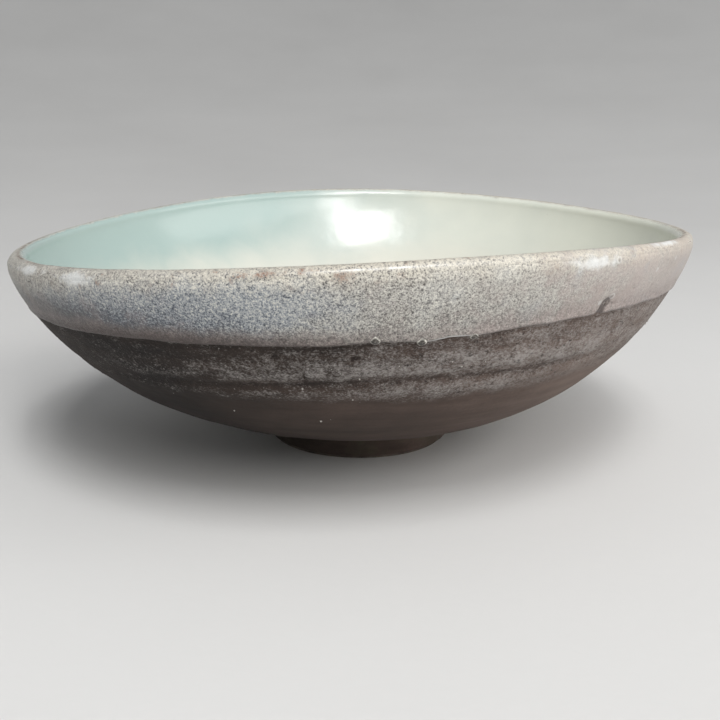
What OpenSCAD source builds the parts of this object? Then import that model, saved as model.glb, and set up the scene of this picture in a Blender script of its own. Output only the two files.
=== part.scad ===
// Shallow tea bowl of thrown stoneware on a turned foot.
// A pale glaze lines the inside and laps over the lip, and a grey one covers the upper wall outside.
// Millimetres, +Z up, origin at the centre of the foot's face. The front of the bowl faces -Y.
// Angles run round the bowl from +X, so 270 is the front.

/* [Bowl] */
// Diameter across the lip, over the clay
lip_d = 149; // [120:1:180]
// Mean height of the top of the clay above the table
lip_h = 50; // [42:0.5:70]
// Thickness of the clay at the lip
lip_t = 3; // [2:0.1:4.5]
// Thickness of the clay at the bottom of the well
floor_t = 6; // [4:0.1:9]
// How full the wall is low down
belly = 2.8; // [2:0.1:3.4]
// How steeply the wall leaves the foot
flare = 1.35; // [1.2:0.05:1.8]

/* [Foot] */
// Diameter of the foot at the table
foot_d = 43; // [34:0.5:52]
// Diameter of the foot where it meets the wall
foot_top_d = 47; // [44:0.5:56]
// Height of the foot
foot_h = 6.5; // [5.5:0.1:9]
// Width of the foot's face
foot_w = 4.5; // [3:0.1:6]
// Chamfer cut round the outer edge of the foot's face
foot_chamfer = 1; // [0.4:0.1:1.4]
// Height of the peak that the turning tool leaves inside the foot
peak_h = 1.2; // [0.5:0.1:1.5]
// Diameter of that peak
peak_d = 13; // [8:0.5:16]

/* [Glaze] */
// Thickness of the pale glaze
inner_glaze_t = 0.5; // [0.3:0.05:0.8]
// Thickness of the grey glaze
outer_glaze_t = 0.45; // [0.3:0.05:0.9]
// Thickness of the grey glaze where it gathers at its lower edge
roll_t = 0.6; // [0.6:0.05:1.4]
// Mean distance from the top of the clay down to the grey glaze's lower edge
band_h = 11.5; // [10:0.5:22]
// How strongly that edge wanders. It hangs lowest at the front.
band_wave = 1; // [0:0.1:1.5]
// Distance from the top of the clay down to the edge of the pale glaze outside
lap_h = 3.3; // [2.9:0.1:4.2]
// Diameter of the beads that hang at the grey glaze's lower edge
bead_d = 1.8; // [1.2:0.1:2.6]

/* [Throwing] */
// How far the finger rings stand out of the wall
ring_h = 0.4; // [0:0.05:0.8]
// Distance up the wall from one finger ring to the next
ring_pitch = 6.5; // [5:0.5:8]
// Distance from the top of the clay down to the deepest groove between the rings
groove_drop = 20.2; // [17:0.1:24]
// Depth of the pool in the middle of the well
pool_depth = 0.8; // [0:0.1:1.5]
// Diameter of that pool
pool_d = 34; // [24:1:44]

/* [Warp from the firing] */
// How much higher the right side of the lip stands than the middle
lip_lean = 1.9; // [0:0.1:4]
// How much higher the back of the lip stands than the middle
lip_tilt = 0.8; // [0:0.1:2]
// How much higher the front and back of the lip stand than the middle
lip_saddle = 2.1; // [0:0.1:3]
// How much higher the right front and left back of the lip stand than the middle
lip_twist = 0.9; // [0:0.1:2]
// How far the left front and right back of the lip are pushed out
lip_oval = 3.1; // [0:0.1:4]

/* [Grit] */
// Number of kiln sand grains fused to the bare wall
grit_n = 26; // [4:1:40]
// Diameter of the largest grain
grit_d = 1.1; // [0.6:0.1:1.6]

/* [Hidden] */

// Facets round the bowl, and rings of facets in each stretch of its profile
around = 64;
low_n = 24;
band_n = 6;
lap_n = 2;
round_n = 6;
well_n = 14;

// The profile is one line in five stretches. These are the stations where the stretches end.
line_at = low_n;
lap_at = line_at + band_n;
lip_at = lap_at + lap_n;
well_at = lip_at + round_n;
last_at = well_at + well_n;

lip_r = lip_d / 2;
foot_top_r = foot_top_d / 2;
rim_h = lip_h - lip_t / 2;
floor_h = foot_h + floor_t;
well_r = lip_r - lip_t;
right_angle = 90;

// Where the grey glaze's beads hang round the bowl
bead_angles = [28, 75, 104, 140, 165, 272.2, 278.5, 286];
bead_r = bead_d / 2;

// The wall is a superellipse. Its angle starts where the radius equals the foot's.
foot_turn = asin(pow(foot_top_r / lip_r, belly / 2));
foot_rise = 1 - pow(cos(foot_turn), 2 / flare);
wall_start_h = (foot_h - rim_h * foot_rise) / (1 - foot_rise);

function turn_at_height(h) = acos(pow((rim_h - h) / (rim_h - wall_start_h), flare / 2));
function wall_radius(turn) = lip_r * pow(sin(turn), 2 / belly);
function wall_height(turn) = wall_start_h + (rim_h - wall_start_h) * (1 - pow(cos(turn), 2 / flare));

// Finger rings swell and pinch the wall, and fade out two rings away from the deepest groove
function ring_fade(rings) = pow(max(0, 1 - pow(rings / 2, 2)), 2);
function finger_ring(h) =
    let (rings = (h - lip_h + groove_drop) / ring_pitch)
    -ring_h * cos(360 * rings) * ring_fade(rings);

// Profile of the clay as [radius, height]: u runs 0 to 1 up the outside, 1 to 2 over the lip,
// and 2 to 3 down the well to its middle
function outside(u) =
    let (turn = foot_turn + (right_angle - foot_turn) * u, h = wall_height(turn))
    [wall_radius(turn) + finger_ring(h), h];
function over_lip(u) =
    let (swing = 180 * (u - 1))
    [lip_r - lip_t / 2 + lip_t / 2 * cos(swing), rim_h + lip_t / 2 * sin(swing)];
function well(u) =
    let (
        turn = right_angle * (3 - u),
        r = well_r * pow(sin(turn), 2 / belly),
        pool = pool_depth * pow(max(0, 1 - pow(2 * r / pool_d, 2)), 2)
    )
    [r, floor_h + (rim_h - floor_h) * (1 - pow(cos(turn), 2 / flare)) - pool];
function clay(u) = u <= 1 ? outside(u) : u <= 2 ? over_lip(u) : well(u);

// A coat's face stands off the clay along its normal
step = 0.002;
function coated(u, t) =
    let (
        before = clay(max(0, u - step)),
        after = clay(min(3, u + step)),
        along = (after - before) / norm(after - before)
    )
    u >= 3 ? clay(3) + [0, t] : clay(u) + t * [along[1], -along[0]];

// Share of the outside, 0 to 1, at a height below the top of the clay
function u_below_top(drop) = (turn_at_height(lip_h - drop) - foot_turn) / (right_angle - foot_turn);
function line_drop(a) =
    band_h - band_wave * (0.25 * sin(a) + 0.8 * cos(2 * a) - 0.2 * cos(3 * a) - 0.5 * sin(3 * a));
function lap_drop(a) = lap_h + 0.4 * sin(3 * a);

function between(from, to, share) = from + (to - from) * share;
function station(j, a) =
    let (line_u = u_below_top(line_drop(a)), lap_u = u_below_top(lap_drop(a)))
    j <= line_at ? between(0, line_u, j / low_n)
    : j <= lap_at ? between(line_u, lap_u, (j - line_at) / band_n)
    : j <= lip_at ? between(lap_u, 1, (j - lap_at) / lap_n)
    : j <= well_at ? 1 + (j - lip_at) / round_n
    : 2 + (j - well_at) / well_n;

// The firing lifts and pushes the lip. The foot and the middle of the well stay true.
function warp_share(r) = pow(max(0, (r - foot_top_r) / (lip_r - foot_top_r)), 2);
function lift(a) =
    lip_lean * cos(a) + lip_tilt * sin(a) - lip_saddle * cos(2 * a) - lip_twist * sin(2 * a);
function push(a) = lip_oval * sin(2 * a);
function placed(p, a) =
    let (share = warp_share(p[0]), r = p[0] + push(a) * share)
    [r * cos(a), r * sin(a), p[1] + lift(a) * share];

function angle(i) = 360 * i / around;
function ring_of(j, t) =
    [for (i = [0:around - 1]) placed(coated(station(j, angle(i)), t), angle(i))];
function flat_ring(r, h) = [for (i = [0:around - 1]) [r * cos(angle(i)), r * sin(angle(i)), h]];

// Triangles between rings that follow each other in a point list. Both sides of a coat and the clay
// under it are cut along the same diagonals, so that they meet face to face.
function flipped(faces, yes) = yes ? [for (f = faces) [f[0], f[2], f[1]]] : faces;
function band_faces(first, rings, inward = false) =
    flipped([
        for (j = [0:rings - 2], i = [0:around - 1])
            let (
                a = first + j * around + i,
                b = first + j * around + (i + 1) % around,
                c = b + around,
                d = a + around
            )
            each [[a, c, b], [a, d, c]]
    ], inward);
function join_faces(from, to) =
    [
        for (i = [0:around - 1])
            let (next = (i + 1) % around)
            each [[from + i, to + next, from + next], [from + i, to + i, to + next]]
    ];
function fan_faces(centre, ring, down = false) =
    flipped([for (i = [0:around - 1]) [centre, ring + (i + 1) % around, ring + i]], down);

function flat(lists) = [for (list = lists) each list];

module clay_body() {
    under = [flat_ring(peak_d / 4, foot_h - peak_h / 2), flat_ring(peak_d / 2, foot_h)];
    skin = [for (j = [0:last_at - 1]) ring_of(j, 0)];
    rings = concat(under, skin);
    points = concat(flat(rings), [[0, 0, foot_h - peak_h], [0, 0, clay(3)[1]]]);
    tip = len(rings) * around;
    color("rosybrown")
        polyhedron(
            points,
            concat(
                band_faces(0, len(rings)),
                fan_faces(tip, 0, down = true),
                fan_faces(tip + 1, tip - around)
            )
        );
}

module foot_ring() {
    foot_r = foot_d / 2;
    color("dimgray")
        rotate_extrude($fn = 128)
            polygon([
                [foot_r - foot_w, 0],
                [foot_r - foot_chamfer, 0],
                [foot_r, foot_chamfer],
                [foot_top_r, foot_h],
                [foot_r - foot_w - foot_chamfer, foot_h]
            ]);
}

module inner_glaze() {
    count = last_at - lap_at;
    face = [for (j = [lap_at:last_at - 1]) ring_of(j, inner_glaze_t)];
    back = [for (j = [lap_at:last_at - 1]) ring_of(j, 0)];
    points = concat(flat(face), flat(back), [placed(coated(3, inner_glaze_t), 0), placed(clay(3), 0)]);
    back_at = count * around;
    middle = 2 * back_at;
    color("beige")
        polyhedron(
            points,
            concat(
                band_faces(0, count),
                band_faces(back_at, count, inward = true),
                join_faces(back_at, 0),
                fan_faces(middle, back_at - around),
                fan_faces(middle + 1, middle - around, down = true)
            )
        );
}

// The grey glaze thins to the pale one where they meet, and gathers in a roll at its lower edge
function band_t(j) =
    let (share = (j - line_at) / band_n)
    j == lap_at ? inner_glaze_t
    : j == line_at ? roll_t * 0.6
    : between(roll_t, outer_glaze_t, min(1, 3 * share - 0.5));

module outer_glaze() {
    count = band_n + 1;
    face = [for (j = [line_at:lap_at]) ring_of(j, band_t(j))];
    back = [for (j = [line_at:lap_at]) ring_of(j, 0)];
    back_at = count * around;
    color("darkgray")
        polyhedron(
            concat(flat(face), flat(back)),
            concat(
                band_faces(0, count),
                band_faces(back_at, count, inward = true),
                join_faces(back_at, 0),
                join_faces(back_at - around, 2 * back_at - around)
            )
        );
}

module glaze_beads() {
    for (a = bead_angles)
        color("silver")
            translate(placed(coated(station(line_at, a), bead_r / 2), a))
                sphere(bead_r, $fn = 32);
}

module kiln_grit() {
    turns = rands(0, 360, grit_n, 11);
    shares = rands(0.12, 0.8, grit_n, 12);
    sizes = rands(grit_d / 4, grit_d / 2, grit_n, 13);
    for (i = [0:grit_n - 1]) {
        u = station(line_at, turns[i]) * shares[i];
        color("linen")
            translate(placed(coated(u, sizes[i] / 3), turns[i]))
                rotate([turns[i], shares[i] * 180, 0])
                    sphere(sizes[i], $fn = 6);
    }
}

clay_body();
foot_ring();
inner_glaze();
outer_glaze();
glaze_beads();
kiln_grit();
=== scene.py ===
import math

import bmesh
import bpy
import numpy as np
from mathutils import Euler, Matrix, Vector


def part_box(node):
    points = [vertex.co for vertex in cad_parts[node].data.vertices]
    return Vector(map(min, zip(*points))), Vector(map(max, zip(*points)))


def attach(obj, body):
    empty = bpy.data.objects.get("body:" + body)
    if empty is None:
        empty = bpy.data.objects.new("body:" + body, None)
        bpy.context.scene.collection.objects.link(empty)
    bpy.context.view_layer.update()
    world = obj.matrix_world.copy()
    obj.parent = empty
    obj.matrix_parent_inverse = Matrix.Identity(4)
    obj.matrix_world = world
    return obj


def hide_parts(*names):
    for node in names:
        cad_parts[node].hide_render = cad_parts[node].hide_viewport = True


# A wide, shallow tea bowl of thrown stoneware. Metres, +Z up, the front of the bowl faces -Y.
# Angles run round the bowl from +X, and are written in degrees. Shapes take them from 0 to 360, with
# the front at 270. Materials take them from -180 to 180, with the front at -90.

MM = 0.001
# Where every turned surface has its seam
SEAM_ANGLE = 90
# Points closer than this are one point
MERGE_WITHIN = 0.002 * MM
# Room for rounding when shares of a surface are compared
ROUNDING = 1e-5

# Clay. Belly and flare are the powers of the wall's curve.
LIP_THICK = 3.0 * MM
FLOOR_THICK = 6.0 * MM
BELLY = 2.8
FLARE = 1.35
PEAK_HIGH = 1.2 * MM
PEAK_WIDE = 13.0 * MM
POOL_DEEP = 0.8 * MM
POOL_WIDE = 34.0 * MM

# Foot
FOOT_WIDTH = 4.5 * MM
FOOT_CHAMFER = 1.0 * MM

# Glaze, with distances along the wall from the top of the lip. The grey glaze is tucked under the
# pale one, and both coats are sunk into the clay.
PALE_THICK = 0.5 * MM
GREY_THICK = 0.34 * MM
ROLL_THICK = 0.52 * MM
BAND_REACH = 13.2 * MM
BAND_WAVE = 1.11 * MM
LAP_REACH = 4.1 * MM
GREY_TUCK = 3.4 * MM
SUNK = 0.15 * MM
BEAD_ANGLES = (28, 75, 104, 140, 165, 272.2, 278.5, 286)
# This bead sits higher than the others, which hang a little below the glaze's edge
HIGH_BEAD = 272.2
HIGH_BEAD_RAISED = 0.9 * MM
BEAD_DROP = 0.1 * MM
# The clay is undercut along the grey glaze's edge, so both trees take these
LINE = {"Band reach": BAND_REACH, "Line seed": 4.0}

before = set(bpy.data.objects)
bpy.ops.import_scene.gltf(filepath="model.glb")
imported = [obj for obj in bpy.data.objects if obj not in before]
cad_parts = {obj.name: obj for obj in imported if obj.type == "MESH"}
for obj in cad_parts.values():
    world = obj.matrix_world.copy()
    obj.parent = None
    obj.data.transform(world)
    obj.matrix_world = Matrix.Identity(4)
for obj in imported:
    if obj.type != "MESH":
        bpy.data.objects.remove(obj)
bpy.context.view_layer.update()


# ---------------------------------------------------------------------------------------------
# Node trees


class Field:
    """A value in a node tree. Arithmetic on it adds Math nodes to the tree."""

    def __init__(self, tree, socket):
        self.tree = tree
        self.socket = socket

    def math(self, operation, *others, clamp=False):
        node = self.tree.nodes.new("ShaderNodeMath")
        node.operation = operation
        node.use_clamp = clamp
        for socket, value in zip(node.inputs, (self, *others)):
            feed(self.tree, socket, value)
        return Field(self.tree, node.outputs[0])

    def __add__(self, other):
        return self.math("ADD", other)

    def __sub__(self, other):
        return self.math("SUBTRACT", other)

    def __rsub__(self, other):
        return self.math("MULTIPLY_ADD", -1.0, other)

    def __mul__(self, other):
        return self.math("MULTIPLY", other)

    def __truediv__(self, other):
        return self.math("DIVIDE", other)

    __radd__ = __add__
    __rmul__ = __mul__

    def sin(self):
        return self.math("SINE")

    def cos(self):
        return self.math("COSINE")

    def most(self, other):
        return self.math("MAXIMUM", other)

    def clamp(self):
        return self.math("ADD", 0.0, clamp=True)

    def above(self, limit):
        return self.math("GREATER_THAN", limit)

    def bell(self, centre, width):
        """1 at the centre, falling to about a third one width away."""
        off = (self - centre) / width
        return (off * off * -1.0).math("EXPONENT")

    def ramp(self, start, end):
        """0 below the start, 1 above the end, smooth between. The end may be the lower of the two."""
        share = ((self - start) / (end - start)).clamp()
        return share * share * (share * -2.0 + 3.0)


def feed(tree, socket, value):
    if isinstance(value, Field):
        tree.links.new(value.socket, socket)
    elif isinstance(value, tuple) and len(value) == 3 and len(socket.default_value) == 4:
        socket.default_value = (*value, 1.0)
    else:
        socket.default_value = value


def add_node(tree, kind, values=None, **settings):
    """A new node, with its settings, and with its inputs fed by name or number."""
    node = tree.nodes.new(kind)
    for name, value in settings.items():
        setattr(node, name, value)
    for name, value in (values or {}).items():
        feed(tree, node.inputs[name], value)
    return node


def vector(tree, x, y, z):
    return Field(tree, add_node(tree, "ShaderNodeCombineXYZ", {0: x, 1: y, 2: z}).outputs[0])


def parts_of(point):
    node = add_node(point.tree, "ShaderNodeSeparateXYZ", {0: point})
    return [Field(point.tree, socket) for socket in node.outputs]


def position_of(tree):
    """Where each point of a geometry is."""
    return Field(tree, add_node(tree, "GeometryNodeInputPosition").outputs[0])


def stretch(point, scale):
    node = add_node(point.tree, "ShaderNodeVectorMath", {0: point, 1: scale}, operation="MULTIPLY")
    return Field(point.tree, node.outputs[0])


def noise(point, scale, detail=2.0, rough=0.5, seed=0.0, twist=0.0):
    """Noise round 0, about -0.5 to 0.5. The scale is in cells per metre."""
    values = {"Vector": point, "W": seed, "Scale": scale, "Detail": detail, "Roughness": rough}
    values["Distortion"] = twist
    node = add_node(point.tree, "ShaderNodeTexNoise", values, noise_dimensions="4D")
    return Field(point.tree, node.outputs[0]) - 0.5


def cells(point, scale, seed=0.0):
    """Distance to the nearest cell's middle, in cells, and a random number for each cell."""
    values = {"Vector": point, "W": seed, "Scale": scale}
    node = add_node(point.tree, "ShaderNodeTexVoronoi", values, voronoi_dimensions="4D")
    distance = Field(point.tree, node.outputs["Distance"])
    colour = Field(point.tree, node.outputs["Color"])
    return distance, parts_of(colour)[0]


# ---------------------------------------------------------------------------------------------
# The bowl's shape, measured from the frame


# Share of the clay's greatest radius beyond which its points belong to the lip
NEAR_LIP = 0.9


def measured_lip():
    """The lip's radius, how far the firing lifted and pushed it, and its height. All are read from the
    clay's widest ring."""
    co = np.array([v.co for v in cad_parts["clay_body"].data.vertices])
    radius = np.hypot(co[:, 0], co[:, 1])
    wide = co[radius > NEAR_LIP * radius.max()]
    turn = np.round(np.degrees(np.arctan2(wide[:, 1], wide[:, 0])), 1)
    ring = np.array([max(wide[turn == t], key=lambda p: math.hypot(p[0], p[1])) for t in np.unique(turn)])
    angle = np.arctan2(ring[:, 1], ring[:, 0])
    waves = [np.ones_like(angle), np.cos(angle), np.sin(angle), np.cos(2 * angle), np.sin(2 * angle)]
    waves = np.column_stack(waves)
    height, lean, tilt, saddle, twist = np.linalg.lstsq(waves, ring[:, 2], rcond=None)[0]
    radius, _, _, _, oval = np.linalg.lstsq(waves, np.hypot(ring[:, 0], ring[:, 1]), rcond=None)[0]
    return {
        "Lip radius": radius,
        "Lip oval": oval,
        "Lip lean": lean,
        "Lip tilt": tilt,
        "Lip saddle": saddle,
        "Lip twist": twist,
    }, height


LIP, RIM_HIGH = measured_lip()
LIP_RADIUS = LIP["Lip radius"]
FOOT_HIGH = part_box("foot_ring")[1].z
FOOT_TOP_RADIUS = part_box("foot_ring")[1].x
LIP["Foot radius"] = FOOT_TOP_RADIUS
FLOOR_HIGH = FOOT_HIGH + FLOOR_THICK


def wall_point(turn, radius, low, high):
    """A point of a superellipse wall: the turn is 0 at its bottom and 90 degrees at its rim."""
    return (
        radius * math.sin(turn) ** (2 / BELLY),
        low + (high - low) * (1 - max(0.0, math.cos(turn)) ** (2 / FLARE)),
    )


def outside_points(count):
    foot_turn = math.asin((FOOT_TOP_RADIUS / LIP_RADIUS) ** (BELLY / 2))
    rise = 1 - math.cos(foot_turn) ** (2 / FLARE)
    low = (FOOT_HIGH - RIM_HIGH * rise) / (1 - rise)
    turns = np.linspace(foot_turn, math.pi / 2, count)
    return [wall_point(turn, LIP_RADIUS, low, RIM_HIGH) for turn in turns]


def lip_points(count):
    half = LIP_THICK / 2
    swings = np.linspace(0, math.pi, count)
    return [(LIP_RADIUS - half + half * math.cos(a), RIM_HIGH + half * math.sin(a)) for a in swings]


def well_points(count):
    points = []
    for turn in np.linspace(math.pi / 2, 0, count):
        r, z = wall_point(turn, LIP_RADIUS - LIP_THICK, FLOOR_HIGH, RIM_HIGH)
        pool = POOL_DEEP * max(0.0, 1 - (2 * r / POOL_WIDE) ** 2) ** 2
        points.append((r, z - pool))
    return points


def underside_points(count):
    points = []
    for r in np.linspace(0, FOOT_TOP_RADIUS, count):
        peak = PEAK_HIGH * max(0.0, 1 - (2 * r / PEAK_WIDE) ** 2) ** 2
        points.append((r, FOOT_HIGH - peak))
    return points


def foot_points(count):
    """A closed outline of the foot, each of its sides in the same number of steps."""
    face = measured_foot_radius()
    corners = [
        (face - FOOT_WIDTH, 0.0),
        (face - FOOT_CHAMFER, 0.0),
        (face, FOOT_CHAMFER),
        (FOOT_TOP_RADIUS, FOOT_HIGH),
        (face - FOOT_WIDTH - FOOT_CHAMFER, FOOT_HIGH),
    ]
    points = []
    for (r0, z0), (r1, z1) in zip(corners, corners[1:] + corners[:1]):
        for share in np.linspace(0, 1, count, endpoint=False):
            points.append((r0 + (r1 - r0) * share, z0 + (z1 - z0) * share))
    return points + points[:1]


def measured_foot_radius():
    """Radius of the foot at the top of its chamfer."""
    co = np.array([v.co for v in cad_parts["foot_ring"].data.vertices])
    just_above = 1.05
    near = co[co[:, 2] < FOOT_CHAMFER * just_above]
    return np.hypot(near[:, 0], near[:, 1]).max()


def length_of(points):
    return sum(math.dist(a, b) for a, b in zip(points, points[1:]))


UNDER = underside_points(count=60)
OUTSIDE = outside_points(count=400)
OVER_LIP = lip_points(count=41)
WELL = well_points(count=400)
OUTLINE = UNDER + OUTSIDE[1:] + OVER_LIP[1:] + WELL[1:]
FOOT_AT = length_of(UNDER)
LIP_AT = FOOT_AT + length_of(OUTSIDE) + length_of(OVER_LIP) / 2
END_AT = length_of(OUTLINE)
FOOT_OUTLINE = foot_points(count=24)
FOOT_AROUND = length_of(FOOT_OUTLINE)


def outline_mesh(name, points):
    mesh = bpy.data.meshes.new(name)
    edges = [(i, i + 1) for i in range(len(points) - 1)]
    mesh.from_pydata([(r, 0.0, z) for r, z in points], edges, [])
    return mesh


# ---------------------------------------------------------------------------------------------
# Turning an outline on the wheel, as geometry nodes


class Surface:
    """What a turned surface's rules can read at each point while its tree is built."""

    def __init__(self, tree, size, grid):
        self.tree = tree
        self.size = size
        x, y, _ = parts_of(grid)
        self.turn = (x + 0.5) * (2 * math.pi) + math.radians(SEAM_ANGLE)
        self.share = y + 0.5

    def place(self, outline, along):
        """Looks up the outline at a distance along it."""
        node = add_node(
            self.tree,
            "GeometryNodeSampleCurve",
            {"Curves": outline, "Length": along},
            mode="LENGTH",
        )
        self.along = along
        self.r, _, self.z = parts_of(Field(self.tree, node.outputs["Position"]))
        self.slope_r, _, self.slope_z = parts_of(Field(self.tree, node.outputs["Tangent"]))
        self.at = vector(self.tree, self.r * self.turn.cos(), self.r * self.turn.sin(), self.z)

    def mark(self, angle, height, wide, tall):
        """1 at a spot on the wall, fading out over its half width and half height."""
        angle = angle if angle > SEAM_ANGLE else angle + 360
        across = (self.turn - math.radians(angle)) * self.r / wide
        up = (self.z - height) / tall
        return ((across * across + up * up) * -1.0).math("EXPONENT")


def geometry_tree(name, sizes):
    tree = bpy.data.node_groups.new(name, "GeometryNodeTree")
    tree.interface.new_socket("Geometry", in_out="INPUT", socket_type="NodeSocketGeometry")
    tree.interface.new_socket("Geometry", in_out="OUTPUT", socket_type="NodeSocketGeometry")
    for size, value in sizes.items():
        kind = "NodeSocketInt" if isinstance(value, int) else "NodeSocketFloat"
        tree.interface.new_socket(size, in_out="INPUT", socket_type=kind)
    source = tree.nodes.new("NodeGroupInput")
    fields = {size: Field(tree, source.outputs[size]) for size in sizes}
    return tree, Field(tree, source.outputs["Geometry"]), fields


def close_tree(tree, geometry, material):
    smooth = add_node(tree, "GeometryNodeSetShadeSmooth", {"Geometry": geometry})
    real = add_node(tree, "GeometryNodeRealizeInstances", {0: Field(tree, smooth.outputs[0])})
    painted = add_node(
        tree, "GeometryNodeSetMaterial", {"Geometry": Field(tree, real.outputs[0]), "Material": material}
    )
    out = tree.nodes.new("NodeGroupOutput")
    tree.links.new(painted.outputs[0], out.inputs[0])


def applied(name, source_mesh, tree, sizes):
    """Runs a tree on a mesh and returns the result as a plain mesh object."""
    holder = bpy.data.objects.new(name + "_holder", source_mesh)
    bpy.context.scene.collection.objects.link(holder)
    modifier = holder.modifiers.new(name, "NODES")
    modifier.node_group = tree
    for item in tree.interface.items_tree:
        if item.in_out == "INPUT" and item.name in sizes:
            modifier[item.identifier] = sizes[item.name]
    graph = bpy.context.evaluated_depsgraph_get()
    graph.update()
    mesh = bpy.data.meshes.new_from_object(
        holder.evaluated_get(graph), preserve_all_data_layers=True, depsgraph=graph
    )
    holder.modifiers.remove(modifier)
    bpy.data.objects.remove(holder)
    mesh.name = name
    piece = bpy.data.objects.new(name, mesh)
    bpy.context.scene.collection.objects.link(piece)
    return piece


def store(tree, geometry, name, value):
    node = add_node(
        tree,
        "GeometryNodeStoreNamedAttribute",
        {"Geometry": geometry, "Name": name, "Value": value},
        data_type="FLOAT",
        domain="POINT",
    )
    return Field(tree, node.outputs[0])


def turned(name, points, rule, material, sizes, around, rows, warped=True):
    """Turns an outline. The rule takes the surface and returns the distance along the outline, and a
    second rule, which gives how far the surface stands off it and the attributes to keep."""
    sizes = {"Around": around, "Rows": rows, **LIP, **sizes}
    tree, line, size = geometry_tree(name, sizes)
    grid = add_node(
        tree,
        "GeometryNodeMeshGrid",
        {"Size X": 1.0, "Size Y": 1.0, "Vertices X": size["Around"] + 1.0, "Vertices Y": size["Rows"]},
    )
    curve = add_node(tree, "GeometryNodeMeshToCurve", {"Mesh": line})
    surface = Surface(tree, size, position_of(tree))
    along, offset_rule = rule(surface)
    surface.place(Field(tree, curve.outputs[0]), along)
    offset, kept = offset_rule(surface)
    place = stood_off(surface, offset, warped)
    mesh = Field(tree, grid.outputs[0])
    for attribute, value in kept.items():
        mesh = store(tree, mesh, attribute, value)
    moved = add_node(tree, "GeometryNodeSetPosition", {"Geometry": mesh, "Position": place})
    merged = add_node(
        tree,
        "GeometryNodeMergeByDistance",
        {"Geometry": Field(tree, moved.outputs[0]), "Distance": MERGE_WITHIN},
    )
    close_tree(tree, Field(tree, merged.outputs[0]), material)
    piece = applied(name, outline_mesh(name + "_outline", points), tree, sizes)
    drop_loose_edges(piece.data)
    return piece


def stood_off(surface, offset, warped):
    """Where each point of a surface goes, at its distance off the outline."""
    r = surface.r + surface.slope_z * offset
    z = surface.z - surface.slope_r * offset
    if warped:
        r, z = warped_by_firing(surface, r, z)
    return vector(surface.tree, r * surface.turn.cos(), r * surface.turn.sin(), z)


def lift_of(turn, lip, cosine, sine):
    """How far the firing lifted the lip at a turn, for a number or for a field."""
    twice = turn * 2.0
    lift = cosine(turn) * lip["Lip lean"] + sine(turn) * lip["Lip tilt"]
    return lift + cosine(twice) * lip["Lip saddle"] + sine(twice) * lip["Lip twist"]


def warped_by_firing(surface, r, z):
    """The firing lifts and pushes the lip. The foot and the middle of the well stay true."""
    size, turn = surface.size, surface.turn
    reach = (r - size["Foot radius"]) / (size["Lip radius"] - size["Foot radius"])
    share = reach.most(0.0) * reach.most(0.0)
    lift = lift_of(turn, size, Field.cos, Field.sin)
    return r + (turn * 2.0).sin() * size["Lip oval"] * share, z + lift * share


def drop_loose_edges(mesh):
    edit = bmesh.new()
    edit.from_mesh(mesh)
    bmesh.ops.delete(edit, geom=[e for e in edit.edges if not e.link_faces], context="EDGES")
    bmesh.ops.delete(edit, geom=[v for v in edit.verts if not v.link_faces], context="VERTS")
    edit.to_mesh(mesh)
    edit.free()


def in_stretches(share, knots):
    """A line through knots (share, distance), so that rows can lie closer on some stretches."""
    total = knots[0][1]
    for (from_share, start), (to_share, end) in zip(knots, knots[1:]):
        part = ((share - from_share) / (to_share - from_share)).clamp()
        total = part * (end - start) + total
    return total


# ---------------------------------------------------------------------------------------------
# Rules for each turned piece

# Finger rings on the bare wall: height, half width, how far they stand out
FINGER_RINGS = (
    (35.2 * MM, 1.3 * MM, -0.16 * MM),
    (32.2 * MM, 1.6 * MM, 0.24 * MM),
    (31.0 * MM, 0.8 * MM, 0.18 * MM),
    (29.05 * MM, 0.85 * MM, -0.44 * MM),
    (26.7 * MM, 1.1 * MM, 0.30 * MM),
    (24.0 * MM, 1.2 * MM, -0.12 * MM),
    (19.5 * MM, 2.4 * MM, 0.06 * MM),
)
# Gouges in the bare wall: angle, height, half width, half height, depth
GOUGES = (
    (261.3, 32.4 * MM, 0.28 * MM, 0.8 * MM, 0.55 * MM),
    (262.2, 30.6 * MM, 0.24 * MM, 0.9 * MM, 0.60 * MM),
    (269.6, 33.9 * MM, 0.75 * MM, 0.45 * MM, 0.70 * MM),
    (258.6, 35.0 * MM, 0.5 * MM, 0.3 * MM, 0.40 * MM),
    (247.0, 31.0 * MM, 1.6 * MM, 0.3 * MM, 0.30 * MM),
    (292.0, 34.2 * MM, 0.8 * MM, 0.35 * MM, 0.35 * MM),
    (301.0, 27.6 * MM, 1.2 * MM, 0.35 * MM, 0.30 * MM),
    (112.0, 28.0 * MM, 1.4 * MM, 0.4 * MM, 0.40 * MM),
    (30.0, 22.0 * MM, 1.0 * MM, 0.5 * MM, 0.35 * MM),
)
# Where round the bowl the finger rings are deepest
PRESSED_AT = math.radians(276)


def front_share(turn):
    """1 where the finger rings are deepest, falling to 0 at the sides."""
    return (turn - PRESSED_AT).cos().ramp(0.5, 1.0)


def ring_relief(s, seed):
    """The finger rings, which wander in height and are pressed unevenly."""
    wobble = noise(stretch(s.at, (1, 1, 0.2)), 28.0, 3.0, 0.6, seed=seed) * (1.3 * MM)
    height = s.z + wobble
    uneven = noise(stretch(s.at, (1, 1, 0.4)), 45.0, 3.0, 0.6, seed=seed + 1.0) * 1.6
    press = uneven + front_share(s.turn) * 0.8 + 0.08
    rings = 0.0
    for centre, width, stands in FINGER_RINGS:
        rings = height.bell(centre, width) * stands + rings
    return rings * press.most(0.06) * s.size["Ring strength"]


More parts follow.
